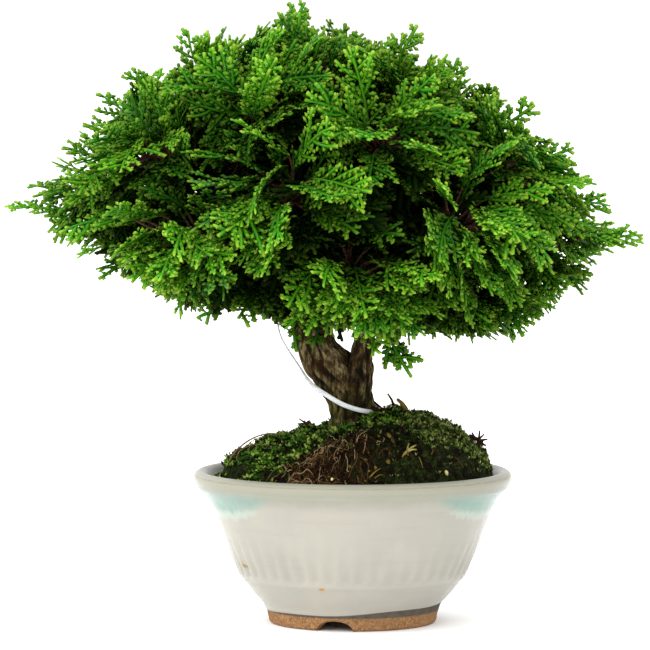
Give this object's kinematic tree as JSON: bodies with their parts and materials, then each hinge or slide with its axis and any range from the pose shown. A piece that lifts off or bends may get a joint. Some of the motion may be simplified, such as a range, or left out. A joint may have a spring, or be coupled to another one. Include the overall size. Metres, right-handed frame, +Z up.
{
  "type": "hinoki cypress bonsai",
  "caption": "Broad domed crown of flat scale-leaf fans on a short forked trunk, planted in a mound of mossy soil in a round glazed bowl on a notched foot ring.",
  "frame": {"origin": "middle of the bounding box's lowest face, on the surface that the foot ring stands on", "axes": "+Z up along the pot's axis, +X to the right of the front view, -Y towards the front"},
  "size_m": [0.2498, 0.2192, 0.2542],
  "materials": {
    "glazed_stoneware": "gloss",
    "potting_soil": "matte",
    "cypress_bark": "matte",
    "scale_leaf": "satin",
    "white_plastic": "satin",
    "screen_plastic": "matte",
    "training_wire": "satin"
  },
  "bodies": {
    "root": {"pot": "glazed_stoneware", "soil": "potting_soil", "trunk": "cypress_bark", "leafy_branch_01": "scale_leaf", "leafy_branch_02": "scale_leaf", "leafy_branch_03": "scale_leaf", "leafy_branch_04": "scale_leaf", "leafy_branch_05": "scale_leaf", "leafy_branch_06": "scale_leaf", "leafy_branch_07": "scale_leaf", "leafy_branch_08": "scale_leaf", "leafy_branch_09": "scale_leaf", "leafy_branch_10": "scale_leaf", "leafy_branch_11": "scale_leaf", "leafy_branch_12": "scale_leaf", "leafy_branch_13": "scale_leaf", "leafy_branch_14": "scale_leaf", "leafy_branch_15": "scale_leaf", "leafy_branch_16": "scale_leaf", "leafy_branch_17": "scale_leaf", "leafy_branch_18": "scale_leaf", "leafy_branch_19": "scale_leaf", "leafy_branch_20": "scale_leaf", "leafy_branch_21": "scale_leaf", "leafy_branch_22": "scale_leaf", "leafy_branch_23": "scale_leaf", "leafy_branch_24": "scale_leaf", "leafy_branch_25": "scale_leaf", "leafy_branch_26": "scale_leaf", "leafy_branch_27": "scale_leaf", "leafy_branch_28": "scale_leaf", "leafy_branch_29": "scale_leaf", "leafy_branch_30": "scale_leaf", "tie_strap": "white_plastic", "drain_screen": "screen_plastic", "screen_clip": "training_wire"}
  },
  "joints": []
}
